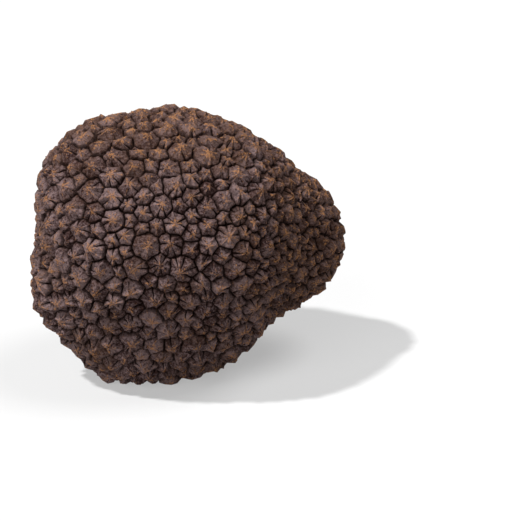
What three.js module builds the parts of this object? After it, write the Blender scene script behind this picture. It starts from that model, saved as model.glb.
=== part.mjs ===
// A whole black truffle, as dug: one lumpy, solid fruiting body, covered all over with
// low pyramid-shaped warts that meet in narrow, angular furrows.
//
// Lengths are in millimetres. +X is to the right, +Y to the back and +Z up. The origin is
// in the middle of the small flat spot that the truffle rests on.
import * as THREE from "three";
import { ConvexHull } from "three/addons/math/ConvexHull.js";

// The rounded lobes that the body swelled from: the middle and the radius of each.
const LOBES = [
  { name: "core", middle: [4, 0, 36], radius: 19.5 },
  { name: "upper left shoulder", middle: [-10.5, -2, 42], radius: 13 },
  { name: "upper right shoulder", middle: [18.5, 2, 36.5], radius: 8.5 },
  { name: "lower left cheek", middle: [-18.5, -5.5, 21.5], radius: 7.5 },
  { name: "front left swell", middle: [-7, -10, 33], radius: 12.5 },
  { name: "front right swell", middle: [10, -9.5, 32], radius: 13 },
  { name: "back left swell", middle: [-4.5, 10, 33.5], radius: 13 },
  { name: "back", middle: [7, 13.5, 35], radius: 16 },
  { name: "front of the foot", middle: [0, -8.5, 17], radius: 9 },
  { name: "back of the foot", middle: [5, 4.5, 11], radius: 10.5 },
  { name: "left of the foot", middle: [-8, -3.5, 11], radius: 9 },
  { name: "lower right flank", middle: [12.5, -3.5, 15], radius: 5.5 },
  { name: "right lobe", middle: [26.5, 11.5, 27.5], radius: 12.5 },
  { name: "underside of the right lobe", middle: [22, 9, 23.5], radius: 6 },
];
const LOBE_BLEND = 4.5; // how softly each lobe runs into the next
const SWELL_HEIGHT = 0.45; // of the shallow dents and swells between the lobes
const SWELL_LENGTH = 4.2; // a swell is about three times as wide
const BODY_CENTRE = new THREE.Vector3(6, 0, 29); // the whole surface can be seen from here
const OUTSIDE = 60; // farther from the centre than any part of the surface
const INWARD_STEPS = 60; // enough for a step inwards to be too small to matter

// The warts, each a blunt pyramid with as many sides as it has neighbours.
const WART_COUNT = 760;
const WART_RADIUS = 2.3; // half the width of a middling wart
const WART_SIZE_LEAST = 0.68; // smallest wart, as a share of that
const WART_SIZE_MOST = 1.32; // largest wart
const FINE_WART_SIZE = 0.75; // warts on the right lobe are smaller, by this factor
const FINE_WARTS_FROM = [18, 30]; // x where they start to get smaller, and where they stop
const WART_STEEPNESS = 0.58; // height of a wart for each millimetre of its half width
const SHOULDER_HEIGHT = 0.48; // how high the flank ends, as a share of the wart's height
const SHOULDER_INSET = 0.18; // how far in from the furrow it ends, as a share of the way to the tip
const TIP_DRIFT = 0.22; // how far off centre a tip may lie, as a share of the half width
const PLAIN_WART_RADIUS = 2.05; // a smaller wart runs straight from furrow to tip
const SETTLING_STEPS = 60;
const SETTLING_SHARE = 0.35; // share of an overlap that two crowded warts lose in one step
const SCATTER_REACH = 50; // skin this far from the body's centre keeps every wart that falls on it
const DRAWS_PER_WART = 8; // numbered random draws that belong to one wart
const SEED = 1729;

// Draw number `n`, from 0 to 1, the same in every run.
const draw = (n) => THREE.MathUtils.seededRandom(SEED + n * 0x6d2b79f5);

// Distance from a point to the body's skin, below zero inside. It is a smooth minimum of
// the distances to the lobes: -b * ln(sum of exp(-distance / b)).
function skinDistance(point) {
  let sum = 0;
  for (const { middle, radius } of LOBES) {
    const distance = Math.hypot(point.x - middle[0], point.y - middle[1], point.z - middle[2]) - radius;
    sum += Math.exp(-distance / LOBE_BLEND);
  }
  return -LOBE_BLEND * Math.log(sum);
}

// The point of the skin in a direction from the body's centre, found by stepping inwards
// from outside, each time by the distance that is still left.
function skinPoint(direction) {
  const point = new THREE.Vector3();
  let reach = OUTSIDE;
  for (let step = 0; step < INWARD_STEPS; step++) {
    reach -= skinDistance(point.copy(BODY_CENTRE).addScaledVector(direction, reach));
  }
  return point.copy(BODY_CENTRE).addScaledVector(direction, reach);
}

// The skin's outward normal: the mean of the directions away from the lobes, each lobe
// counting as much as it does in the distance.
function skinNormal(point) {
  const normal = new THREE.Vector3();
  for (const { middle, radius } of LOBES) {
    const away = point.clone().sub(new THREE.Vector3(...middle));
    const distance = away.length() - radius;
    normal.addScaledVector(away.normalize(), Math.exp(-distance / LOBE_BLEND));
  }
  return normal.normalize();
}

// How much the skin swells (above zero) or dents at a point: a product of three waves.
function swell(point) {
  const [x, y, z] = point.toArray().map((along) => along / SWELL_LENGTH);
  return SWELL_HEIGHT * Math.sin(x + y / 2) * Math.sin(y - z / 2) * Math.sin(z + x / 2);
}

// A point raised from the skin, and pressed flat where it would be under the floor.
function raised(direction, height) {
  const point = skinPoint(direction);
  point.addScaledVector(skinNormal(point), height + swell(point));
  point.z = Math.max(point.z, 0);
  return point;
}

const directionTo = (point) => point.clone().sub(BODY_CENTRE).normalize();

// Places the warts: they start at random, closer together where they are finer, and then
// crowd each other apart over the skin until each has about the room that its size asks for.
// A wart keeps the number of its draws.
function settleWarts() {
  const warts = [];
  for (let number = 0; warts.length < WART_COUNT; number++) {
    const drawn = (which) => draw(number * DRAWS_PER_WART + which);
    const height = 1 - 2 * drawn(0);
    const turn = 2 * Math.PI * drawn(1);
    const across = Math.sqrt(1 - height * height);
    const direction = new THREE.Vector3(across * Math.cos(turn), across * Math.sin(turn), height);
    const point = skinPoint(direction);
    const nearness = THREE.MathUtils.smoothstep(point.x, ...FINE_WARTS_FROM);
    const fineness = THREE.MathUtils.lerp(1, FINE_WART_SIZE, nearness);
    const chance = (point.distanceTo(BODY_CENTRE) / (SCATTER_REACH * fineness)) ** 2;
    if (drawn(2) > chance) continue;
    const size = THREE.MathUtils.lerp(WART_SIZE_LEAST, WART_SIZE_MOST, drawn(3));
    warts.push({ number, point, radius: WART_RADIUS * fineness * size });
  }
  for (let step = 0; step < SETTLING_STEPS; step++) {
    const pushes = warts.map(() => new THREE.Vector3());
    warts.forEach((a, i) => {
      for (let j = i + 1; j < WART_COUNT; j++) {
        const b = warts[j];
        const apart = a.point.distanceTo(b.point);
        const overlap = a.radius + b.radius - apart;
        if (overlap <= 0) continue;
        const push = a.point.clone().sub(b.point).multiplyScalar((SETTLING_SHARE * overlap) / apart);
        pushes[i].add(push);
        pushes[j].sub(push);
      }
    });
    warts.forEach((wart, i) => {
      wart.point = skinPoint(directionTo(wart.point.add(pushes[i])));
    });
  }
  return warts;
}

// Shares the skin out among the warts. Each one is lifted off a unit sphere by half the
// square of its angular radius, and in the hull of those points every triangle's normal
// points to a corner where three warts meet. Each directed edge of the hull gives a
// sector of one wart: the triangle between its tip and two neighbouring corners.
function shareOutSkin(warts) {
  const lifted = warts.map(({ point, radius }) => {
    const reach = point.distanceTo(BODY_CENTRE);
    return directionTo(point).multiplyScalar(1 + 0.5 * (radius / reach) ** 2);
  });
  const numbers = new Map(lifted.map((point, n) => [point, n]));
  const { faces } = new ConvexHull().setFromPoints(lifted);
  const corners = faces.map((face) => face.normal.clone());
  const cornerNumbers = new Map(faces.map((face, n) => [face, n]));
  const sectors = [];
  for (const face of faces) {
    for (const edge of [face.edge, face.edge.next, face.edge.prev]) {
      sectors.push({
        wart: numbers.get(edge.tail().point),
        from: cornerNumbers.get(edge.twin.face),
        to: cornerNumbers.get(face),
      });
    }
  }
  return { corners, sectors };
}

// The tip of each wart: over the mean of its corners, a little off centre, with its
// height in keeping with its width.
function shapeWarts(warts, corners, sectors) {
  const around = warts.map(() => []);
  sectors.forEach(({ wart, from }) => around[wart].push(skinPoint(corners[from])));
  return around.map((rim, n) => {
    const middle = new THREE.Vector3();
    rim.forEach((corner) => middle.addScaledVector(corner, 1 / rim.length));
    const radius = rim.reduce((sum, corner) => sum + corner.distanceTo(middle), 0) / rim.length;
    const drift = [4, 5, 6].map((which) => 2 * draw(warts[n].number * DRAWS_PER_WART + which) - 1);
    middle.addScaledVector(new THREE.Vector3(...drift), TIP_DRIFT * radius);
    return { tip: directionTo(middle), radius, height: WART_STEEPNESS * radius };
  });
}

// The closed skin: each sector is the flank that rises from the furrow to the shoulder,
// and the facet from there to the tip.
function truffleGeometry() {
  const warts = settleWarts();
  const { corners, sectors } = shareOutSkin(warts);
  const shapes = shapeWarts(warts, corners, sectors);
  const positions = [];
  const vertices = new Map();
  const vertex = (key, direction, height) => {
    if (!vertices.has(key)) {
      vertices.set(key, positions.length / 3);
      positions.push(...raised(direction, height));
    }
    return vertices.get(key);
  };
  const triangles = [];
  for (const { wart, from, to } of sectors) {
    const { tip, radius, height } = shapes[wart];
    const top = vertex(`tip ${wart}`, tip, height);
    const [low, lowNext] = [from, to].map((n) => vertex(`corner ${n}`, corners[n], 0));
    if (radius < PLAIN_WART_RADIUS) {
      triangles.push(low, lowNext, top);
      continue;
    }
    const [high, highNext] = [from, to].map((n) => {
      const shoulder = corners[n].clone().lerp(tip, SHOULDER_INSET).normalize();
      return vertex(`shoulder ${wart} ${n}`, shoulder, height * SHOULDER_HEIGHT);
    });
    triangles.push(low, lowNext, highNext, low, highNext, high, high, highNext, top);
  }
  const geometry = new THREE.BufferGeometry();
  geometry.setAttribute("position", new THREE.Float32BufferAttribute(positions, 3));
  geometry.setIndex(triangles);
  geometry.computeVertexNormals();
  return geometry;
}

const wartySkin = new THREE.MeshStandardMaterial({
  color: 0x4c3a35,
  roughness: 0.85,
  metalness: 0,
  flatShading: true,
});

const truffle = new THREE.Mesh(truffleGeometry(), wartySkin);
truffle.name = "truffle";

const group = new THREE.Group();
group.add(truffle);

export default group;
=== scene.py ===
# %% [markdown]
# # A whole black truffle
#
# A black truffle is one solid lump of fungus. Its skin is covered all over with warts, and
# each wart is a low, blunt pyramid with as many sides as it has neighbours. Where warts
# meet they leave narrow, almost black furrows. The packed model already has this form, in
# about eleven thousand flat facets. Here the same formulas lay the same warts out again
# with many more points to each, so that furrows, ridges and cracks are real geometry too.

import bpy
import numpy as np
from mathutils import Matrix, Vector


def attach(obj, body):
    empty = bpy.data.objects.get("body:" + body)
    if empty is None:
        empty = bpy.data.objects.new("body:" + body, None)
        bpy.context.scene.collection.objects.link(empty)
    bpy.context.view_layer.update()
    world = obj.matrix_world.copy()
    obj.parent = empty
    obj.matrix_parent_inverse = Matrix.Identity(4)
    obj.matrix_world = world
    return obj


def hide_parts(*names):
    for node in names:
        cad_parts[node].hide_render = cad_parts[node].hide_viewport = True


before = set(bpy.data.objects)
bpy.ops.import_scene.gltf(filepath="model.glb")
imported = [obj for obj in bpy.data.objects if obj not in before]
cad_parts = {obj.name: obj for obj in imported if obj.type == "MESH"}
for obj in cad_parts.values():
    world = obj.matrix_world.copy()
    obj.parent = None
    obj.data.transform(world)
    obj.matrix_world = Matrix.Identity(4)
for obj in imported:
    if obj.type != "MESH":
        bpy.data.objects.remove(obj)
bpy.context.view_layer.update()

MM = 0.001  # one millimetre in Blender's metres

# %% [markdown]
# ## The lump
#
# The body swelled unevenly, as a potato does between stones. It could be sculpted, or made
# from one ball with soft displacement. Here it is a handful of round lobes run together
# with a smooth minimum, because a few named numbers then say the whole shape, and any
# point of the skin can be worked out from its direction alone.

# %% The lobes, in millimetres: the middle of each, x, y and z, and its radius
LOBES = {
    "core": (4, 0, 36, 19.5),
    "upper left shoulder": (-10.5, -2, 42, 13),
    "upper right shoulder": (18.5, 2, 36.5, 8.5),
    "lower left cheek": (-18.5, -5.5, 21.5, 7.5),
    "front left swell": (-7, -10, 33, 12.5),
    "front right swell": (10, -9.5, 32, 13),
    "back left swell": (-4.5, 10, 33.5, 13),
    "back": (7, 13.5, 35, 16),
    "front of the foot": (0, -8.5, 17, 9),
    "back of the foot": (5, 4.5, 11, 10.5),
    "left of the foot": (-8, -3.5, 11, 9),
    "lower right flank": (12.5, -3.5, 15, 5.5),
    "right lobe": (26.5, 11.5, 27.5, 12.5),
    "underside of the right lobe": (22, 9, 23.5, 6),
}
LOBE_BLEND = 4.5  # how softly each lobe runs into the next
BODY_CENTRE = np.array([6.0, 0.0, 29.0])  # the whole surface can be seen from here
OUTSIDE = 60.0  # farther from the centre than any part of the surface
MARCH_STEPS = 60  # enough for a step inwards to be too small to matter

lobe_table = np.array(list(LOBES.values()), float)
lobe_middles, lobe_radii = lobe_table[:, :3], lobe_table[:, 3]
print(len(LOBES), "lobes, the largest", lobe_radii.max(), "mm in radius")


# %% [markdown]
# A soft body like this has no formula for its surface, only one for how far a point is from
# it. Blender's metaballs have the same trouble and search for the surface on a grid. Here
# each ray from the body's centre is followed inwards until it meets the skin, which gives
# exactly the point that is asked for.

# %% Points of the skin
def unit(vectors):
    """Vectors scaled to length 1: each one divided by its own length."""
    return vectors / np.linalg.norm(vectors, axis=-1, keepdims=True)


def directions_to(points):
    """Directions from the body's centre to points: their differences, scaled to length 1."""
    return unit(points - BODY_CENTRE)


def lobe_weights(points):
    """exp(-distance / blend) for each point and lobe, where distance is to the lobe's surface."""
    distance = np.linalg.norm(points[..., None, :] - lobe_middles, axis=-1) - lobe_radii
    return np.exp(-distance / LOBE_BLEND)


def skin_points(directions):
    """Where rays from the body's centre leave the body: each ray is followed inwards from outside,
    each time by the distance left, -blend * ln(sum of the lobe weights)."""
    reach = np.full(directions.shape[:-1], OUTSIDE)
    for _ in range(MARCH_STEPS):
        points = BODY_CENTRE + reach[..., None] * directions
        reach = reach + LOBE_BLEND * np.log(lobe_weights(points).sum(-1))
    return BODY_CENTRE + reach[..., None] * directions


def skin_normals(points):
    """The outward normal: the mean of the directions away from the lobes, by lobe weight."""
    away = unit(points[..., None, :] - lobe_middles)
    return unit((away * lobe_weights(points)[..., None]).sum(-2))


top_of_skin = skin_points(np.array([0.0, 0.0, 1.0]))
print("Straight above its centre the bare body is", top_of_skin[2].round(1), "mm high")

# %% [markdown]
# ## Shallow swells
#
# Between the lobes the skin isn't quite even: it dents and swells a little every
# centimetre or so. A noise texture with displacement could do that. A product of three
# slanting sine waves is enough here, and is the same formula in the packed model.

# %% Swells
SWELL_HEIGHT = 0.45  # of the shallow dents and swells, in millimetres
SWELL_LENGTH = 4.2  # a swell is about three times as wide


def swells(points):
    """How much the skin swells or dents: height * sin(x + y/2) * sin(y - z/2) * sin(z + x/2), with
    x, y and z measured in swell lengths."""
    x, y, z = np.moveaxis(points / SWELL_LENGTH, -1, 0)
    return SWELL_HEIGHT * np.sin(x + y / 2) * np.sin(y - z / 2) * np.sin(z + x / 2)


print("At its highest point the skin swells by", swells(top_of_skin).round(2), "mm")

# %% [markdown]
# ## Chance that repeats
#
# The warts differ by chance, but the truffle has to come out the same each time. A
# numbered draw does this: it scrambles the bits of a whole number and returns a value from
# 0 to 1, so that draw 12 is always the same, in any order and in any program.

# %% Numbered draws
SEED = 1729
SEED_STEP = 0x6D2B79F5  # from one draw to the next


def draws(numbers):
    """The Mulberry32 generator: draw number n, from 0 to 1, for a whole array of numbers n."""
    with np.errstate(over="ignore"):
        t = (np.asarray(numbers, np.int64) * SEED_STEP + SEED + SEED_STEP).astype(np.uint32)
        t = (t ^ (t >> np.uint32(15))) * (t | np.uint32(1))
        t = t ^ (t + (t ^ (t >> np.uint32(7))) * (t | np.uint32(61)))
        return (t ^ (t >> np.uint32(14))) / 2.0**32


def drawn_between(low, high, numbers):
    """Values from low to high, one for each number: low + (high - low) * draw."""
    return low + (high - low) * draws(numbers)


print("The first draws:", draws([0, 1, 2]).round(4))

# %% [markdown]
# ## Scattering the warts
#
# On the real skin each wart swells until it meets its neighbours. A Voronoi texture would
# give angular cells too, but all of one size and only as a picture. Here discs of
# different sizes are dropped on the skin at random, closer together on the right lobe,
# where the warts are finer.

# %% Discs scattered on the skin
WART_COUNT = 760
WART_RADIUS = 2.3  # half the width of a middling wart
WART_SIZE_LEAST = 0.68  # smallest wart, as a share of that
WART_SIZE_MOST = 1.32  # largest wart
FINE_WART_SIZE = 0.75  # warts on the right lobe are smaller, by this factor
FINE_WARTS_FROM, FINE_WARTS_TO = 18, 30  # x where they start to get smaller, and where they stop
SCATTER_REACH = 50.0  # skin this far from the body's centre keeps every wart that falls on it
SCATTERED = 6 * WART_COUNT  # enough for WART_COUNT of them to be kept
DRAWS_PER_WART = 8  # numbered draws that belong to one wart


def scattered_warts():
    """Numbers, middles and radii of warts scattered on the skin. A direction is kept with a chance in
    proportion to (reach / fineness) squared: the skin's area there over that of a wart."""
    numbers = np.arange(SCATTERED)
    height = 1 - 2 * draws(numbers * DRAWS_PER_WART)
    turn = 2 * np.pi * draws(numbers * DRAWS_PER_WART + 1)
    across = np.sqrt(1 - height**2)
    middles = skin_points(np.stack([across * np.cos(turn), across * np.sin(turn), height], -1))
    nearness = np.clip((middles[:, 0] - FINE_WARTS_FROM) / (FINE_WARTS_TO - FINE_WARTS_FROM), 0, 1)
    fineness = 1 + (FINE_WART_SIZE - 1) * nearness**2 * (3 - 2 * nearness)
    reach = np.linalg.norm(middles - BODY_CENTRE, axis=1)
    kept = draws(numbers * DRAWS_PER_WART + 2) <= (reach / (SCATTER_REACH * fineness)) ** 2
    numbers = numbers[kept][:WART_COUNT]
    size = drawn_between(WART_SIZE_LEAST, WART_SIZE_MOST, numbers * DRAWS_PER_WART + 3)
    return numbers, middles[numbers], WART_RADIUS * fineness[numbers] * size


wart_numbers, scattered_middles, wart_radii = scattered_warts()
print("Warts from", wart_radii.min().round(1), "to", wart_radii.max().round(1), "mm in radius")

# %% [markdown]
# ## Crowding
#
# Growing warts push each other aside. A physics simulation could settle the discs. Sixty
# rounds of a simple rule do as well: two discs that overlap move apart by a share of the
# overlap, and every disc returns to the skin.

# %% Discs that push each other apart
SETTLING_STEPS = 60
SETTLING_SHARE = 0.35  # share of an overlap that two crowded warts lose in one step
FAR_APART = 1e9  # what keeps a wart from pushing itself


def settled(middles, radii):
    """The middles after crowding. Each pair that overlaps moves apart along the line between them by
    share * overlap, and all return to the skin after each step."""
    reach = radii[:, None] + radii
    for _ in range(SETTLING_STEPS):
        between = middles[:, None] - middles
        apart = np.linalg.norm(between, axis=-1) + FAR_APART * np.eye(WART_COUNT)
        share = SETTLING_SHARE * np.maximum(reach - apart, 0) / apart
        middles = skin_points(directions_to(middles + (between * share[..., None]).sum(1)))
    return middles


wart_middles = settled(scattered_middles, wart_radii)
moved = np.linalg.norm(wart_middles - scattered_middles, axis=1)
print("Crowding moved a wart by", moved.mean().round(1), "mm on average")


# %% [markdown]
# ## Sharing out the skin
#
# Furrows run where neighbouring warts meet, so the skin is split into a weighted Voronoi
# diagram on a ball. Each wart is lifted off a unit ball by half the square of its angular
# radius. The convex hull of the lifted points joins every three warts that meet, and the
# normal of that triangle points to the corner where they do.

# %% The hull of the lifted warts
def hull_triangles(points):
    """Triangles of the convex hull, facing outwards. Points are added one by one: each removes the
    triangles that it can see, and is joined to the rim of the gap that they leave."""
    faces = np.array([[0, 1, 2], [0, 2, 3], [0, 3, 1], [1, 3, 2]])
    if np.linalg.det(points[1:4] - points[0]) > 0:
        faces = faces[:, ::-1]
    for number in range(4, len(points)):
        a, b, c = points[faces].transpose(1, 0, 2)
        seen = (np.cross(b - a, c - a) * (points[number] - a)).sum(1) > 0
        edges = np.concatenate([faces[seen][:, [k, (k + 1) % 3]] for k in range(3)])
        forth = edges[:, 0] * len(points) + edges[:, 1]
        back = edges[:, 1] * len(points) + edges[:, 0]
        rim = edges[~np.isin(forth, back)]
        fan = np.column_stack([rim, np.full(len(rim), number)])
        faces = np.concatenate([faces[~seen], fan])
    return faces


wart_reach = np.linalg.norm(wart_middles - BODY_CENTRE, axis=1)
lift = 1 + 0.5 * (wart_radii / wart_reach) ** 2
lifted = directions_to(wart_middles) * lift[:, None]
meetings = hull_triangles(lifted)
first, second, third = lifted[meetings].transpose(1, 0, 2)
corner_directions = unit(np.cross(second - first, third - first))
corner_points = skin_points(corner_directions)
print(len(corner_directions), "corners where three warts meet")

# %% [markdown]
# Each directed edge of a hull triangle stands for one **sector**: the stretch of a wart
# between its tip and its border with one neighbour. The sectors are what is modelled
# below, so it helps to know which sector lies across the border, and which comes next
# round the same wart.

# %% Sectors and their neighbours
edge_wart = meetings.ravel()
edge_neighbour = np.roll(meetings, -1, axis=1).ravel()
edge_codes = edge_wart * WART_COUNT + edge_neighbour
codes_across = edge_neighbour * WART_COUNT + edge_wart
by_code = np.argsort(edge_codes)
across_border = by_code[np.searchsorted(edge_codes, codes_across, sorter=by_code)]
edge_numbers = np.arange(len(edge_wart))
edge_before = edge_numbers // 3 * 3 + (edge_numbers + 2) % 3
next_sector = across_border[edge_before]
corner_from = across_border // 3
corner_to = edge_numbers // 3
border_lengths = np.linalg.norm(corner_points[corner_from] - corner_points[corner_to], axis=1)
print(len(edge_wart), "sectors with borders of", border_lengths.mean().round(1), "mm on average")

# %% [markdown]
# ## Tips
#
# A wart's tip is seldom in its middle, so its facets are unequal and catch the light
# differently. The tip is set over the mean of the wart's corners and then moved off centre
# by chance.

# %% Tips
TIP_DRIFT = 0.22  # how far off centre a tip may lie, as a share of the half width


def wart_means(values):
    """Means over each wart's corners of values that every sector has at its first corner."""
    count = np.bincount(edge_wart, minlength=WART_COUNT)
    columns = values.reshape(len(edge_wart), -1).T
    sums = np.stack([np.bincount(edge_wart, column, WART_COUNT) for column in columns], -1)
    return (sums / count[:, None]).squeeze()


rim_middles = wart_means(corner_points[corner_from])
rim_radii = wart_means(np.linalg.norm(corner_points[corner_from] - rim_middles[edge_wart], axis=1))
drift = drawn_between(-TIP_DRIFT, TIP_DRIFT, wart_numbers[:, None] * DRAWS_PER_WART + [4, 5, 6])
wart_tones = draws(wart_numbers * DRAWS_PER_WART + 7)
tip_directions = directions_to(rim_middles + drift * rim_radii[:, None])
sector_radii = rim_radii[edge_wart]
print("Warts are", (2 * rim_radii.mean()).round(1), "mm wide on average")

# %% [markdown]
# ## Cracks
#
# As a truffle dries, many warts split from the furrow towards the tip. Cracks could be
# painted on, but then they would throw no shadow. Here about a third of the sectors have
# one of their own: three columns of points stand close together where it runs, and the middle
# one is pushed down.

# %% Which sectors are cracked, and where
CRACK_SHARE = 0.33  # share of the sectors that have a crack
CRACK_BORDER_LEAST = 1.3  # a shorter border has none
CRACK_PLACE_LEAST, CRACK_PLACE_MOST = 0.33, 0.67  # where it runs, as a share of the border
CRACK_HALF_WIDTH = 0.3  # at the border
CRACK_PLACE_DRAWS = 10_000_000  # where the numbered draws for the places begin
CRACK_DRAWS = 20_000_000  # where the draws for which sectors are cracked begin

in_order = edge_wart < edge_neighbour
pair_codes = np.where(in_order, edge_codes, codes_across)
crack_place = drawn_between(CRACK_PLACE_LEAST, CRACK_PLACE_MOST, CRACK_PLACE_DRAWS + pair_codes)
crack_place = np.where(in_order, crack_place, 1 - crack_place)
cracked = (draws(CRACK_DRAWS + edge_codes) < CRACK_SHARE) & (border_lengths > CRACK_BORDER_LEAST)
near_crack = cracked | cracked[across_border]
print(int(cracked.sum()), "cracks")

# %% [markdown]
# ## The grid of a sector
#
# Every sector becomes a small grid. Its columns run from the border to the tip, and its
# rows run along the border. Rows crowd together at the furrow, where the skin turns
# sharply, and columns beside ridges and cracks, so that few points give crisp edges.

# %% Where the columns lie, as shares of the border
BESIDE_RIDGE = 0.11  # the column next to a ridge
PLAIN_COLUMNS = (BESIDE_RIDGE, 0.3, 0.5, 0.7, 1 - BESIDE_RIDGE)  # without a crack
CRACK_COLUMN = 3  # the number of the column that a crack pushes down

crack_step = CRACK_HALF_WIDTH / np.maximum(border_lengths, CRACK_BORDER_LEAST)
crack_sides = crack_place[:, None] + crack_step[:, None] * np.array([-1, 0, 1])
ends = np.zeros((len(edge_wart), 1))
crack_columns = np.concatenate([ends + BESIDE_RIDGE, crack_sides, ends + 1 - BESIDE_RIDGE], axis=1)
inner_columns = np.where(near_crack[:, None], crack_columns, PLAIN_COLUMNS)
columns = np.concatenate([ends, inner_columns, ends + 1], axis=1)
print(columns.shape[1], "columns in each sector")

# %% [markdown]
# A wart's flank bends twice, at the top of the furrow's wall and at the shoulder, so a row
# lies at each. Their widths are in millimetres, because a furrow is as wide beside a small
# wart as beside a large one. Only on very small warts are they held to a share of the way.

# %% Where the rows lie, as shares of the way from the border to the tip
WALL_WIDTH = 0.15  # from the middle of a furrow to the top of its wall
SHOULDER_WIDTH = 0.36  # from there to the end of the steep flank
WALL_SHARE_MOST = 0.2  # the wall's row lies no farther than this on the way to the tip
SHOULDER_SHARE_MOST = 0.4  # nor the shoulder's than this
UPPER_ROW = 0.45  # one more row, as a share of the way from the shoulder to the tip

wall_row = np.minimum(WALL_WIDTH / sector_radii, WALL_SHARE_MOST)
shoulder_row = np.minimum(SHOULDER_WIDTH / sector_radii, SHOULDER_SHARE_MOST)
upper_row = shoulder_row + (1 - shoulder_row) * UPPER_ROW
rows = np.stack([0 * wall_row, wall_row, shoulder_row, upper_row], -1)
print(rows.shape[1], "rows and a tip; the shoulder is at", shoulder_row.mean().round(2))

# %% [markdown]
# Borders on the real skin are almost straight, with small kinks. The grid is laid between
# straight lines first and then shifted a little by two smooth ripples, a long one and a
# short one. Both sides of a border are shifted alike, so it stays closed.

# %% The grid on the skin
LONG_RIPPLE = {"wavelength": 3.1, "amount": 0.14, "phase": 0.4}
SHORT_RIPPLE = {"wavelength": 1.3, "amount": 0.10, "phase": 1.9}


def ripple(points, wavelength, amount, phase):
    """A smooth vector field: each component is amount * the product of the sines of the two other
    coordinates, measured in wavelengths."""
    x, y, z = np.moveaxis(points * (2 * np.pi / wavelength) + phase, -1, 0)
    field = [np.sin(y) * np.sin(z + 1), np.sin(z) * np.sin(x + 2), np.sin(x) * np.sin(y + 3)]
    return amount * np.stack(field, -1)


start, end = corner_directions[corner_from][:, None], corner_directions[corner_to][:, None]
border = unit(start * (1 - columns[..., None]) + end * columns[..., None])
row_share = rows[:, None, :, None]
towards_tip = tip_directions[edge_wart][:, None, None]
straight_grid = skin_points(unit(border[:, :, None] * (1 - row_share) + towards_tip * row_share))
shifted = straight_grid + ripple(straight_grid, **LONG_RIPPLE) + ripple(straight_grid, **SHORT_RIPPLE)
grid_points = skin_points(directions_to(shifted))
grid_normals = skin_normals(grid_points)
tip_points = skin_points(tip_directions)
tip_normals = skin_normals(tip_points)
rippled_by = np.linalg.norm(grid_points - straight_grid, axis=-1)
print("Ripples move a point by", rippled_by.max().round(2), "mm at most")

# %% [markdown]
# ## The profile of a wart
#
# Cut through, a wart is a blunt pyramid: a steep wall out of the furrow, a shoulder, and
# flatter facets up to the tip. The height of each row is therefore a short list of shares
# of the wart's own height, and wide warts are higher than narrow ones.

# %% How high each row stands
WART_STEEPNESS = 0.65  # height of an unworn wart for each millimetre of its half width
FURROW_DEPTH = 0.4  # how far a furrow is sunk into the skin, in millimetres
WALL_RISE = 0.15  # where the furrow's wall ends, as a share of the wart's height
SHOULDER_RISE = 0.34  # where the steep flank ends
BLUNTNESS = 0.2  # by how much that differs from wart to wart

wart_heights = WART_STEEPNESS * rim_radii
shoulder_rise = SHOULDER_RISE + BLUNTNESS * (2 * wart_tones[edge_wart] - 1)
upper_rise = shoulder_rise + (1 - shoulder_rise) * UPPER_ROW
rises = np.stack([0 * upper_rise, WALL_RISE + 0 * upper_rise, shoulder_rise, upper_rise], -1)
print("Warts are", wart_heights.mean().round(1), "mm high on average")

# %% [markdown]
# ## Facets and pleats
#
# Facets sag between the ridges that run from the tip to each corner. Some ridges stand
# out, others hardly show, and the facets are pleated by chance. Sculpting this on 4500
# sectors is out of the question. A sine across the facet sags it, and numbered draws lift
# or lower each ridge and each pleat.

# %% How much each column folds
FACET_SAG = 0.17  # how far a facet's middle lies under the ridges, as a share of the height
PLEAT = 0.15  # how far pleats stray up or down
RIDGE_STRAY = 0.27  # how far ridges do
FOLD_CURVE = 0.7  # below 1, a fold is broader and is deepest nearer the furrow
PLEAT_DRAWS = 40_000_000  # where the numbered draws for pleats begin
RIDGE_DRAWS = 60_000_000  # and those for ridges, each at its sector's first corner
PLEATED = slice(2, 5)  # the columns that are pleated: neither the ridges nor those beside them

pleat_numbers = 3 * edge_codes[:, None] + np.arange(3)
pleats = np.zeros(columns.shape)
pleats[:, PLEATED] = drawn_between(-PLEAT, PLEAT, PLEAT_DRAWS + pleat_numbers)
ridge_lifts = drawn_between(-RIDGE_STRAY, RIDGE_STRAY, RIDGE_DRAWS + edge_codes)[:, None]
ridge_to_ridge = ridge_lifts * (1 - columns) + ridge_lifts[next_sector] * columns
folds = ridge_to_ridge + pleats - FACET_SAG * np.sin(np.pi * columns) ** FOLD_CURVE
fold_share = np.sin(np.pi * rows**FOLD_CURVE)
heights = rises[:, None] + folds[..., None] * fold_share[:, None]
print("Folds run from", folds.min().round(2), "to", folds.max().round(2), "of the height")

# %% [markdown]
# A crack is deepest at the furrow and runs out on its way to the tip, so it takes a share
# of the height away that fades from row to row. Lumps and dents come from the same smooth
# ripples as before. The points of a shared edge lie at the same place, so they move alike
# and the skin stays closed. Last, the furrow is sunk, and the tip is worn down.

# %% Cracks, small lumps and the furrow
CRACK_DEPTH = 0.95  # share of the height that a crack takes away at the border
CRACK_REACH_LEAST, CRACK_REACH_MOST = 0.7, 1.5  # where it ends; 1 is at the tip
CRACK_STEEPNESS = 1.8  # above 1, a crack keeps its depth for longer
CRACK_REACH_DRAWS = 30_000_000  # where the numbered draws for the reach begin
WORN_TIP = 0.9  # what is left of a wart's height at its tip
LUMPS = {"wavelength": 2.9, "amount": 0.26, "phase": 5.2}  # lumps and dents of half a wart
CRUMPLE = {"wavelength": 1.3, "amount": 0.2, "phase": 0.7}  # and finer ones all over

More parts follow.
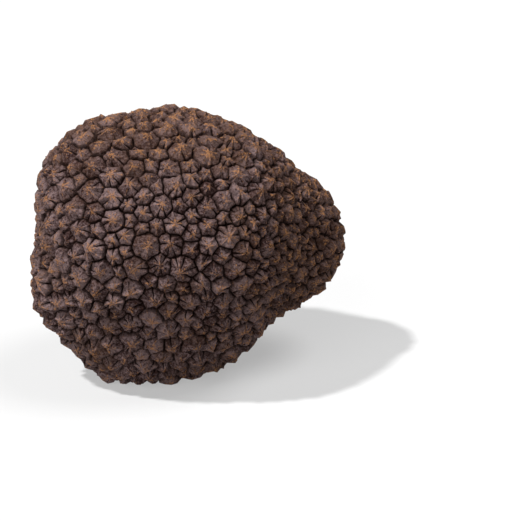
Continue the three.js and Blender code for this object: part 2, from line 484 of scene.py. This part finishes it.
crack_reach = drawn_between(CRACK_REACH_LEAST, CRACK_REACH_MOST, CRACK_REACH_DRAWS + edge_codes)
crack_fade = np.clip(CRACK_STEEPNESS * (1 - rows / crack_reach[:, None]), 0, 1) * cracked[:, None]
heights[:, CRACK_COLUMN] *= 1 - CRACK_DEPTH * crack_fade
heights *= wart_heights[edge_wart][:, None, None]
above_furrow = np.minimum(rows / shoulder_row[:, None], 1)[:, None]
lumpiness = ripple(grid_points, **LUMPS) + ripple(grid_points, **CRUMPLE)
heights += lumpiness[..., 0] * above_furrow
heights -= FURROW_DEPTH * (1 - above_furrow)
tip_lumpiness = ripple(tip_points, **LUMPS) + ripple(tip_points, **CRUMPLE)
tip_heights = WORN_TIP * wart_heights + tip_lumpiness[:, 0]
print("The skin lies from", heights.min().round(2), "to", heights.max().round(2), "mm above the body")

# %% [markdown]
# The heights are measured along the body's normals. Where the truffle rests, everything
# that would be under the floor is pressed flat on it.

# %% Raised from the body
grid_points = grid_points + grid_normals * (heights + swells(grid_points))[..., None]
tip_points = tip_points + tip_normals * (tip_heights + swells(tip_points))[:, None]
grid_points[..., 2] = np.maximum(grid_points[..., 2], 0)
tip_points[:, 2] = np.maximum(tip_points[:, 2], 0)
print("The truffle stands", tip_points[:, 2].max().round(1), "mm high")

# %% [markdown]
# ## One closed skin
#
# Neighbouring grids share their edges: the furrow row with the sector across the border,
# and the outer columns with the next sectors of the same wart. Points could be merged by
# distance afterwards, but giving shared points one number from the start is exact.

# %% Number the points
sector_count, column_count, row_count = grid_points.shape[:3]
corner_count = len(corner_directions)
leads = edge_numbers < across_border
between_corners = column_count - 2
border_numbers = corner_count + np.arange(leads.sum() * between_corners).reshape(-1, between_corners)
first_own = corner_count + border_numbers.size
own_count = sector_count * (column_count - 1) * (row_count - 1)
own_numbers = np.arange(own_count).reshape(sector_count, column_count - 1, row_count - 1)

grid_index = np.zeros((sector_count, column_count, row_count), int)
grid_index[:, 0, 0] = corner_from
grid_index[:, -1, 0] = corner_to
grid_index[leads, 1:-1, 0] = border_numbers
grid_index[~leads, 1:-1, 0] = grid_index[across_border[~leads], 1:-1, 0][:, ::-1]
grid_index[:, :-1, 1:] = first_own + own_numbers
grid_index[:, -1, 1:] = grid_index[next_sector, 0, 1:]
tip_index = first_own + own_count + np.arange(WART_COUNT)

vertices = np.zeros((first_own + own_count + WART_COUNT, 3))
vertices[grid_index] = grid_points
vertices[tip_index] = tip_points
print(len(vertices), "points")


# %% [markdown]
# Four neighbouring points of a grid make a face, and three make one at the tip. The mesh
# then takes the packed node's place: it rides on the body that the node belongs to, and the
# packed node is hidden.

# %% Join them up
def grid_quads(values):
    """The values at the four corners of every grid cell, in order round the cell."""
    low, high = values[:, :, :-1], values[:, :, 1:]
    return np.stack([low[:, :-1], low[:, 1:], high[:, 1:], high[:, :-1]], axis=3)


def tip_triangles(values, tips):
    """The values at the corners of the triangles that close each sector at its tip."""
    top = values[:, :, -1]
    return np.stack([top[:, :-1], top[:, 1:], np.broadcast_to(tips[:, None], top[:, 1:].shape)], axis=2)


quads = grid_quads(grid_index).reshape(-1, 4)
triangles = tip_triangles(grid_index, tip_index[edge_wart]).reshape(-1, 3)
skin_mesh = bpy.data.meshes.new("warty_truffle")
skin_mesh.from_pydata(vertices * MM, [], quads.tolist() + triangles.tolist())
skin_mesh.shade_smooth()
truffle = bpy.data.objects.new("warty_truffle", skin_mesh)
bpy.context.collection.objects.link(truffle)
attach(truffle, "root")
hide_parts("truffle")
print(2 * len(quads) + len(triangles), "triangles")

# %% [markdown]
# Smooth shading blends the steep flank into the facet above it, and warts look like
# cushions. Flat shading would show every triangle. So the surface is smooth, except for
# the edges along the shoulders, which are marked as sharp.

# %% Crisp shoulders
SHOULDER = 2  # the number of the shoulder's row

row_of_point = np.zeros(len(vertices), int)
row_of_point[grid_index] = np.arange(row_count)
edge_ends = np.zeros(2 * len(skin_mesh.edges), np.int32)
skin_mesh.edges.foreach_get("vertices", edge_ends)
on_shoulder = (row_of_point[edge_ends].reshape(-1, 2) == SHOULDER).all(axis=1)
skin_mesh.edges.foreach_set("use_edge_sharp", on_shoulder)
print(int(on_shoulder.sum()), "sharp edges")


# %% [markdown]
# ## What the finish has to know
#
# Wear gathers on tips and ridges, and earth and painted shade go into the furrows, so the
# finish needs to know where it is on a wart. Ambient occlusion and edge wear nodes guess
# that, and can't be baked well.
# The grids know it exactly: a UV map holds each point's place round its own tip in
# millimetres, and attributes hold the distances from the furrow and the nearest ridge, how
# far up the wart a point lies, and how deep in a crack.

# %% A chart of each wart
def corner_values(grid_values, tip_values):
    """One value for every corner of every face, in the order of the mesh's faces."""
    size = grid_values.shape[3:]
    of_quads = grid_quads(grid_values).reshape(-1, *size)
    of_triangles = tip_triangles(grid_values, tip_values).reshape(-1, *size)
    return np.concatenate([of_quads, of_triangles])


SLANT = (0.3, 0.5, 0.8)  # a direction that no tip points to exactly
sideways = unit(np.cross(tip_normals, SLANT))
forwards = np.cross(tip_normals, sideways)
from_tip = grid_points - tip_points[edge_wart][:, None, None]
along_axes = [(from_tip * axis[edge_wart][:, None, None]).sum(-1) for axis in (sideways, forwards)]
chart_layer = skin_mesh.uv_layers.new(name="wart_chart")
chart = corner_values(np.stack(along_axes, axis=-1), np.zeros((sector_count, 2)))
chart_layer.data.foreach_set("uv", chart.ravel())
print("The chart reaches", np.abs(chart).max().round(1), "mm from the tips")


# %% [markdown]
# An attribute of the points is blended across each face, which suits a distance. Four are
# stored: how far up the wart a point lies, how far from the furrow, how far from the
# nearest ridge, and how deep in a crack.

# %% Distances and shares
def store(name, grid_values, tip_values):
    """Keeps one number for each point of the skin under a name that materials can read."""
    values = np.zeros(len(vertices), np.float32)
    values[grid_index] = grid_values
    values[tip_index] = tip_values
    skin_mesh.attributes.new(name, "FLOAT", "POINT").data.foreach_set("value", values)
    print(name, "is", values.mean().round(2), "on average")


ridge_shares = np.minimum(columns, 1 - columns) * border_lengths[:, None]
crack_values = np.zeros(grid_index.shape)
crack_values[:, CRACK_COLUMN] = crack_fade
store("rise", np.broadcast_to(rows[:, None], grid_index.shape), 1.0)
store("furrow", np.broadcast_to((rows * sector_radii[:, None])[:, None], grid_index.shape), rim_radii)
store("ridge", ridge_shares[..., None] * (1 - rows[:, None]), 0.0)
store("crack", crack_values, 0.0)

# %% [markdown]
# Some facets are darker than the next from edge to edge. That has to change at once and not
# be blended, so the tone is stored at the corners of faces, and all corners of a facet get
# the same. Half of it belongs to the wart, because warts differ too.

# %% A tone for each facet
FACET_TONE = 0.5  # share of a facet's tone that is its own; the rest belongs to its wart
FACET_DRAWS = 50_000_000  # where the numbered draws for facets begin

facet_tones = (1 - FACET_TONE) * wart_tones[edge_wart] + FACET_TONE * draws(FACET_DRAWS + edge_codes)
cells = (column_count - 1) * (row_count - 1)
of_quads = np.repeat(facet_tones, cells * 4)
of_triangles = np.repeat(facet_tones, (column_count - 1) * 3)
tone_layer = skin_mesh.attributes.new("tone", "FLOAT", "CORNER")
tone_layer.data.foreach_set("value", np.concatenate([of_quads, of_triangles]).astype(np.float32))
print("Tones run from", facet_tones.min().round(2), "to", facet_tones.max().round(2))


# %% [markdown]
# ## Shader sums as Python
#
# Each finish below is a sum or product of masks. Wiring those by hand takes dozens of Math
# nodes. The first class wraps a socket, so that `1 - mask` adds the node by itself. The
# second one adds every other kind of node through one method.

# %% Values that add their own nodes
class Value:
    """A socket of a shader. Sums, differences and products of values add Math nodes."""

    def __init__(self, shader, socket):
        self.shader = shader
        self.socket = socket

    def math(self, operation, *others):
        """The result of a Math node on this value and the others."""
        inputs = dict(enumerate((self, *others)))
        return self.shader.node("ShaderNodeMath", {"operation": operation}, inputs)

    def __add__(self, other):
        return self.math("ADD", other)

    def __mul__(self, other):
        return self.math("MULTIPLY", other)

    def __sub__(self, other):
        return self.math("SUBTRACT", other)

    __radd__ = __add__
    __rmul__ = __mul__

    def __rsub__(self, other):
        return -1 * self + other

    def between(self, low, high):
        """0 at low, 1 at high, and a smooth run between them."""
        inputs = {"Value": self, "From Min": low, "From Max": high}
        return self.shader.node("ShaderNodeMapRange", {"interpolation_type": "SMOOTHSTEP"}, inputs)


print("Reflected forms:", [name for name in vars(Value) if name.startswith("__r")])


# %% [markdown]
# A node has settings, such as a Mix node's kind of data, and sockets, which take values or
# links. The settings decide which sockets there are, so they are set first. Short methods
# for the few kinds of node that come up again keep the finishes easy to read.

# %% A material that adds nodes by name
class Shader:
    """A material, and the nodes that lead to its surface."""

    def __init__(self, name):
        self.material = bpy.data.materials.new(name)
        self.material.use_nodes = True
        self.tree = self.material.node_tree
        self.surface = self.tree.nodes["Principled BSDF"]

    def node(self, kind, settings, inputs, output=0):
        """Adds a node: its settings are set first, and then the values or links of its sockets."""
        node = self.tree.nodes.new(kind)
        for name, value in settings.items():
            setattr(node, name, value)
        self.feed(node, inputs)
        return Value(self, node.outputs[output])

    def feed(self, node, inputs):
        """Sets a node's sockets to values, or links them."""
        for name, value in inputs.items():
            if isinstance(value, Value):
                self.tree.links.new(value.socket, node.inputs[name])
            else:
                node.inputs[name].default_value = value

    def mix(self, factor, first, second):
        """A colour between two, given as (red, green, blue) or as values: first at factor 0."""
        colours = [colour if isinstance(colour, Value) else (*colour, 1) for colour in (first, second)]
        inputs = {0: factor, 6: colours[0], 7: colours[1]}
        return self.node("ShaderNodeMix", {"data_type": "RGBA"}, inputs, output=2)

    def noise(self, place, scale, detail, roughness):
        """Smooth noise from 0 to 1, with blobs of 1 / scale."""
        inputs = {"Vector": place, "Scale": scale, "Detail": detail, "Roughness": roughness}
        return self.node("ShaderNodeTexNoise", {}, inputs)

    def attribute(self, name):
        """A number that the mesh keeps under a name."""
        return self.node("ShaderNodeAttribute", {"attribute_name": name}, {}, output=2)


print("Shaders have the words", [name for name in vars(Shader) if not name.startswith("_")])


# %% [markdown]
# ## Threads combed from the tip
#
# Facets of the real warts are combed: fine threads run from the tip to the furrow. Rays
# from a wave texture would be the same on every wart. Here noise is looked up at a place
# that changes fast with the direction from the tip and slowly with the distance, which
# draws its blobs out into threads. The facet's tone moves the place as well, so that no
# two facets have the same threads.

# %% Threads
COMBING = {"count": 3.6, "stretch": 0.6, "shift": 90}  # many fine threads
SPLITTING = {"count": 2.3, "stretch": 0.2, "shift": 57}  # fewer and straighter, for splits
THREAD_DETAIL = {"scale": 1.0, "detail": 3, "roughness": 0.65}


def threads(shader, count, stretch, shift):
    """Noise drawn out from the tip, at count * (direction from the tip) + stretch * (place on the
    chart), moved by shift * tone in the third direction."""
    chart = shader.node("ShaderNodeUVMap", {"uv_map": "wart_chart"}, {})
    direction = shader.node("ShaderNodeVectorMath", {"operation": "NORMALIZE"}, {0: chart})
    offset = shader.node("ShaderNodeCombineXYZ", {}, {"Z": shift * shader.attribute("tone")})
    multiply_add = {"operation": "MULTIPLY_ADD"}
    slow = shader.node("ShaderNodeVectorMath", multiply_add, {0: chart, 1: (stretch,) * 3, 2: offset})
    place = shader.node("ShaderNodeVectorMath", multiply_add, {0: direction, 1: (count,) * 3, 2: slow})
    return shader.noise(place, **THREAD_DETAIL)


print("Threads change every", round(1 / COMBING["count"], 2), "radians round a tip")


# %% [markdown]
# ## The hide
#
# Clean facets are a taupe between grey and purple, mottled at the scale of a grain of
# sand, and each facet is a little lighter or darker than the next. Whole patches of the
# truffle are browner at random, and more brown is painted on the top and on the right lobe
# as painted light, falling from above and from the right. One colour ramp would tie the two
# together, so the taupe is mixed first, and brown is laid over it where a much wider noise
# or the place asks for it.

# %% The hide's colours
DARK_TAUPE = (0.022, 0.0094, 0.0086)
PALE_TAUPE = (0.173, 0.120, 0.120)
PATCH_AND_LIT_TOP_BROWN = (0.068, 0.034, 0.020)
TOP_FROM, TOP_TO = 44 * MM, 58 * MM  # heights over which painted light browns the top
LOBE_FROM, LOBE_TO = 14 * MM, 30 * MM  # x over which painted light browns the right lobe
GRAIN_SHARE, TONE_SHARE = 1.3, 0.35  # how much grain and tone count; mottle counts 1
DARKEST_AT, PALEST_AT = 1.06, 1.59  # their sum where the taupe is all dark, and all pale
BROWN_MOTTLE, BROWN_THREADS = 0.5, 0.4  # how much mottle and threads count; patches count 1
BROWN_FROM, BROWN_AT = 0.85, 1.25  # their sum where brown begins, and where it is strongest
BROWN_MOST = 0.5  # how much of the taupe it covers there


def lit_top_and_lobe(shader, place):
    """Where painted light falls: 1 on the top and on the right lobe, and 0 elsewhere: the larger of two
    runs.
    """
    along = shader.node("ShaderNodeSeparateXYZ", {}, {0: place}, output=0)
    up = shader.node("ShaderNodeSeparateXYZ", {}, {0: place}, output=2)
    return up.between(TOP_FROM, TOP_TO).math("MAXIMUM", along.between(LOBE_FROM, LOBE_TO))


def hide(shader, mottle, grain, patches_and_lit_top, combed):
    """Dark to pale taupe by mottle + share * grain + share * tone, and brown over it by
    patches_and_lit_top + share * mottle + share * threads: random brown patches, with more
    brown painted on the top and the right lobe as painted light."""
    paleness = mottle + GRAIN_SHARE * grain + TONE_SHARE * shader.attribute("tone")
    taupe = shader.mix(paleness.between(DARKEST_AT, PALEST_AT), DARK_TAUPE, PALE_TAUPE)
    brownness_and_lit_top = patches_and_lit_top + BROWN_MOTTLE * mottle + BROWN_THREADS * combed
    return shader.mix(BROWN_MOST * brownness_and_lit_top.between(BROWN_FROM, BROWN_AT), taupe, PATCH_AND_LIT_TOP_BROWN)


print("The top gets browner from", round(TOP_FROM / MM), "mm up")


# %% [markdown]
# ## Worn flecks
#
# Tips and ridges are rubbed through to an orange brown. The wear isn't a line but a row of
# broken flecks. A mask of the ridges alone would look drawn, so the nearness to a ridge
# and to the tip only raises the chance, and threads and fine grain decide where a fleck is.

# %% Worn flecks
WORN_ORANGE = (0.33, 0.150, 0.057)
RIDGE_CREST, RIDGE_WIDTH = 0.02, 0.32  # how far from a ridge wear is likeliest, and ends, in mm
WEAR_FROM, WEAR_AT = 0.2, 0.9  # how far up a wart wear begins, and is likeliest
RIDGE_CHANCE, RISE_CHANCE = 0.08, 0.13  # what being on a ridge or a tip adds to the chance
TONE_CHANCE, LIT_TOP_AND_LOBE_CHANCE = 0.1, 0.02  # what a pale facet adds, and what painted light adds on the top and the right lobe
THREAD_SHARE, FLECK_SHARE = 0.3, 0.95  # how much threads and the noise of flecks count
FLECK_FROM, FLECK_AT = 0.81, 0.95  # the sum where a fleck begins, and where it is full


def worn_flecks(shader, place, flecks, combed):
    """1 where a fleck is: where the chance (by ridge, rise, tone, and painted light on the top and
    the right lobe) and the noise (share * threads + share * flecks) are high together."""
    ridge = 1 - shader.attribute("ridge").between(RIDGE_CREST, RIDGE_WIDTH)
    rise = shader.attribute("rise").between(WEAR_FROM, WEAR_AT)
    tone = shader.attribute("tone")
    chance = RIDGE_CHANCE * ridge + RISE_CHANCE * rise + TONE_CHANCE * tone
    # More orange flecks on the top and the right lobe: painted light.
    chance = chance + LIT_TOP_AND_LOBE_CHANCE * lit_top_and_lobe(shader, place)
    return (chance + THREAD_SHARE * combed + FLECK_SHARE * flecks).between(FLECK_FROM, FLECK_AT)


print("Wear reaches", RIDGE_WIDTH, "mm from a ridge")


# %% [markdown]
# ## Dark furrows, cracks and splits
#
# Earth and shade make furrows almost black, with a trace of red. The geometry gives some
# shade, and a near-black painted at the bottom of furrows, cracks and splits adds painted
# shade, with a little earth in the furrows. Besides the modelled cracks there are many finer
# splits, which run in from the furrow and are as thin as a thread. Those are noise once
# more, drawn out from the tip and cut off low.

# %% How dark each place is
# A brown towards each furrow: partly earth, partly painted shade on the flanks.
EARTH_AND_SHADE_BROWN = (0.030, 0.0115, 0.0065)
# A near-black for furrows, cracks and splits: painted shade, with a little earth in the furrows.
FURROW_SHADE_BLACK = (0.0060, 0.0016, 0.0007)
EARTH_AND_SHADE_WIDTH = 1.0  # how far from the middle of a furrow the earth and painted shade reach
FURROW_WIDTH = 0.39  # how far the black at its bottom reaches, in millimetres too
RAGGEDNESS = 0.4  # how far the edge of the black strays
NOISE_MEAN = 0.5  # noise is this on average
CRACK_EDGE, CRACK_BLACK = 0.02, 0.5  # how deep in a crack the black begins, and is full
SPLIT_BLACK, SPLIT_EDGE = 0.28, 0.36  # the noise where a split is black, and where it ends
SPLITS_FADE, SPLITS_END = 0.35, 0.8  # how far up a wart splits start to fade, and are gone


def fine_splits(shader):
    """1 in a split: where the noise of threads is low, and the point is low on the wart."""
    open_here = 1 - threads(shader, **SPLITTING).between(SPLIT_BLACK, SPLIT_EDGE)
    return open_here * (1 - shader.attribute("rise").between(SPLITS_FADE, SPLITS_END))


def furrow_shade(shader, splits, mottle):
    """1 where painted shade goes, in furrows, cracks and splits: the largest of the three masks.
    Mottle is added to the distance from the furrow, which makes its edge ragged."""
    ragged = shader.attribute("furrow") + RAGGEDNESS * mottle
    usual_shift = RAGGEDNESS * NOISE_MEAN
    furrow = 1 - ragged.between(usual_shift, usual_shift + FURROW_WIDTH)
    crack = shader.attribute("crack").between(CRACK_EDGE, CRACK_BLACK)
    return furrow.math("MAXIMUM", crack).math("MAXIMUM", splits)


print("Black reaches", FURROW_WIDTH, "mm from the middle of a furrow")


# %% [markdown]
# ## The whole finish
#
# The hide lies lowest, with earth and painted shade towards the furrows, then come the worn
# flecks, and the painted shade of furrows, cracks and splits over both, with a little earth in
# the furrows. The same masks feed the bump, so that threads stand up, grain is rough to the
# light and splits are sunk. The skin is matt. The dark of the furrows and the hide differ in
# colour, not in gloss, and only the rubbed flecks are a little smoother.

# %% The truffle's skin
PER_MM = 1 / MM  # texture scale for one blob in each millimetre
MOTTLE = {"scale": 1.5 * PER_MM, "detail": 3, "roughness": 0.6}
GRAIN = {"scale": 3.4 * PER_MM, "detail": 4, "roughness": 0.75}
FLECKS = {"scale": 2.6 * PER_MM, "detail": 3, "roughness": 0.7}
PATCHES = {"scale": 0.12 * PER_MM, "detail": 2, "roughness": 0.5}
LIT_TOP_AND_LOBE_BROWN = 0.22  # how much painted light browns the top and the right lobe
EARTH_AND_SHADE_FROM = 0.15  # how far from the middle of a furrow the earth and painted shade begin to thin, in mm
EARTH_AND_SHADE_MOST, WEAR_MOST, SHADE_MOST = 0.35, 0.75, 0.96  # how much each covers where it is full
THREADS_UP, GRAIN_UP, MOTTLE_UP, SPLITS_DOWN = 0.25, 0.35, 0.45, 0.25  # the bump of each, in mm
SPECULAR = 0.04  # almost none
MATT, RUBBED = 0.65, 0.12  # the hide's roughness, and how much smoother a fleck is


def truffle_skin():
    """The hide with earth and painted shade towards the furrows, worn flecks over it, and the painted
    shade of furrows, cracks and splits over all.
    """
    shader = Shader("truffle_skin")
    place = shader.node("ShaderNodeTexCoord", {}, {}, output=3)
    combed = threads(shader, **COMBING)
    splits = fine_splits(shader)
    kinds = (MOTTLE, GRAIN, FLECKS, PATCHES)
    mottle, grain, flecks, patches_and_lit_top = (shader.noise(place, **kind) for kind in kinds)
    # More brown on the top and the right lobe: painted light from above and from the right.
    patches_and_lit_top = patches_and_lit_top + LIT_TOP_AND_LOBE_BROWN * lit_top_and_lobe(shader, place)

    wear = worn_flecks(shader, place, flecks, combed)
    shade = furrow_shade(shader, splits, mottle)
    # Darker brown towards each furrow: partly earth, partly painted shade.
    earth_and_shade = 1 - shader.attribute("furrow").between(EARTH_AND_SHADE_FROM, EARTH_AND_SHADE_WIDTH)
    skin = shader.mix(EARTH_AND_SHADE_MOST * earth_and_shade, hide(shader, mottle, grain, patches_and_lit_top, combed), EARTH_AND_SHADE_BROWN)
    skin = shader.mix(WEAR_MOST * wear, skin, WORN_ORANGE)
    # Near-black in furrows, cracks and splits: painted shade, with a little earth.
    skin = shader.mix(SHADE_MOST * shade, skin, FURROW_SHADE_BLACK)

    relief = THREADS_UP * combed + GRAIN_UP * grain + MOTTLE_UP * mottle - SPLITS_DOWN * splits
    bump = shader.node("ShaderNodeBump", {}, {"Strength": 1.0, "Distance": MM, "Height": relief})
    shader.surface.inputs["Specular IOR Level"].default_value = SPECULAR
    shader.feed(shader.surface, {"Base Color": skin, "Roughness": MATT - RUBBED * wear, "Normal": bump})
    return shader.material


skin_mesh.materials.append(truffle_skin())
print("The finish has", len(skin_mesh.materials[0].node_tree.nodes), "nodes")

# %% [markdown]
# ## The floor
#
# The truffle lies on a bright white table, and its shadow there is faint. A plain white
# floor would throw too much light up at the underside. Product tables are often lit from
# below as well, so this one is a middling grey that glows a little.

# %% Floor
FLOOR_REACH = 3.0  # half its width, in metres
FLOOR_GREY = 0.26
FLOOR_GLOW = 0.40  # the strength of its own light
FLOOR_ROUGHNESS = 0.9

floor_mesh = bpy.data.meshes.new("floor")
floor_corners = [(-1, -1, 0), (1, -1, 0), (1, 1, 0), (-1, 1, 0)]
floor_mesh.from_pydata(FLOOR_REACH * np.array(floor_corners), [], [(0, 1, 2, 3)])
floor = bpy.data.objects.new("floor", floor_mesh)
bpy.context.collection.objects.link(floor)
floor_paint = Shader("floor_paint")
grey, white = (FLOOR_GREY, FLOOR_GREY, FLOOR_GREY, 1), (1, 1, 1, 1)
glow = {"Emission Color": white, "Emission Strength": FLOOR_GLOW}
floor_paint.feed(floor_paint.surface, {"Base Color": grey, "Roughness": FLOOR_ROUGHNESS, **glow})
floor_mesh.materials.append(floor_paint.material)
print("The floor is", 2 * FLOOR_REACH, "m wide")

# %% [markdown]
# ## Light
#
# The main light falls from high on the left, so that upper facets are bright and lower ones
# dark. A wide and weak one from the front left opens up the side that faces the camera, and
# a third from high on the right keeps the right lobe from going black. Area lights would
# leave the floor grey far from the truffle. Suns with a wide disc in the sky are as soft,
# and light the floor evenly. A weak white sky fills the shadows.

# %% Suns and sky
SKY_STRENGTH = 0.15

world = bpy.data.worlds.new("studio")
world.use_nodes = True
sky = world.node_tree.nodes["Background"].inputs
sky["Color"].default_value = (1, 1, 1, 1)
sky["Strength"].default_value = SKY_STRENGTH
bpy.context.scene.world = world


def sun(name, towards, strength, disc):
    """A distant light, which lies towards a direction. Its disc in the sky is so many degrees wide."""
    light = bpy.data.lights.new(name, "SUN")
    light.energy = strength
    light.angle = np.radians(disc)
    lamp = bpy.data.objects.new(name, light)
    lamp.rotation_euler = Vector(towards).to_track_quat("Z", "Y").to_euler()
    bpy.context.collection.objects.link(lamp)


sun("key", towards=(-0.47, -0.23, 0.85), strength=5.2, disc=4)
sun("front light", towards=(-0.45, -0.78, 0.43), strength=1.8, disc=40)
sun("right light", towards=(0.45, -0.05, 0.88), strength=2.2, disc=30)
print("Lights:", [light.name for light in bpy.data.lights])

# %% [markdown]
# ## Camera
#
# The picture looks down a little from the front, from about a third of a metre. A nearer
# camera would stretch the front of the truffle. The lens follows from how much the frame
# spans at the truffle.

# %% Camera
ELEVATION = np.radians(18)
DISTANCE = 0.34  # from the point in the middle, in metres
FRAME_WIDTH = 0.1134  # what the picture spans at the truffle
SENSOR = 36  # the width of a full frame sensor, in millimetres
NEAREST = 0.01  # nothing nearer to the camera is drawn
AIM = Vector((0.0215, -0.0025, 0.0268))  # the point in the middle of the picture

camera = bpy.data.cameras.new("camera")
camera.sensor_width = SENSOR
camera.lens = SENSOR * DISTANCE / FRAME_WIDTH
camera.clip_start = NEAREST
eye = bpy.data.objects.new("camera", camera)
back = Vector((0, -np.cos(ELEVATION), np.sin(ELEVATION)))
eye.location = AIM + back * DISTANCE
eye.rotation_euler = (-back).to_track_quat("-Z", "Y").to_euler()
bpy.context.collection.objects.link(eye)
bpy.context.scene.camera = eye
bpy.context.scene.view_settings.view_transform = "Standard"
print("The lens is", round(camera.lens), "mm long")

# %% [markdown]
# ## Sizes
#
# A finer skin must not change the size of the truffle.
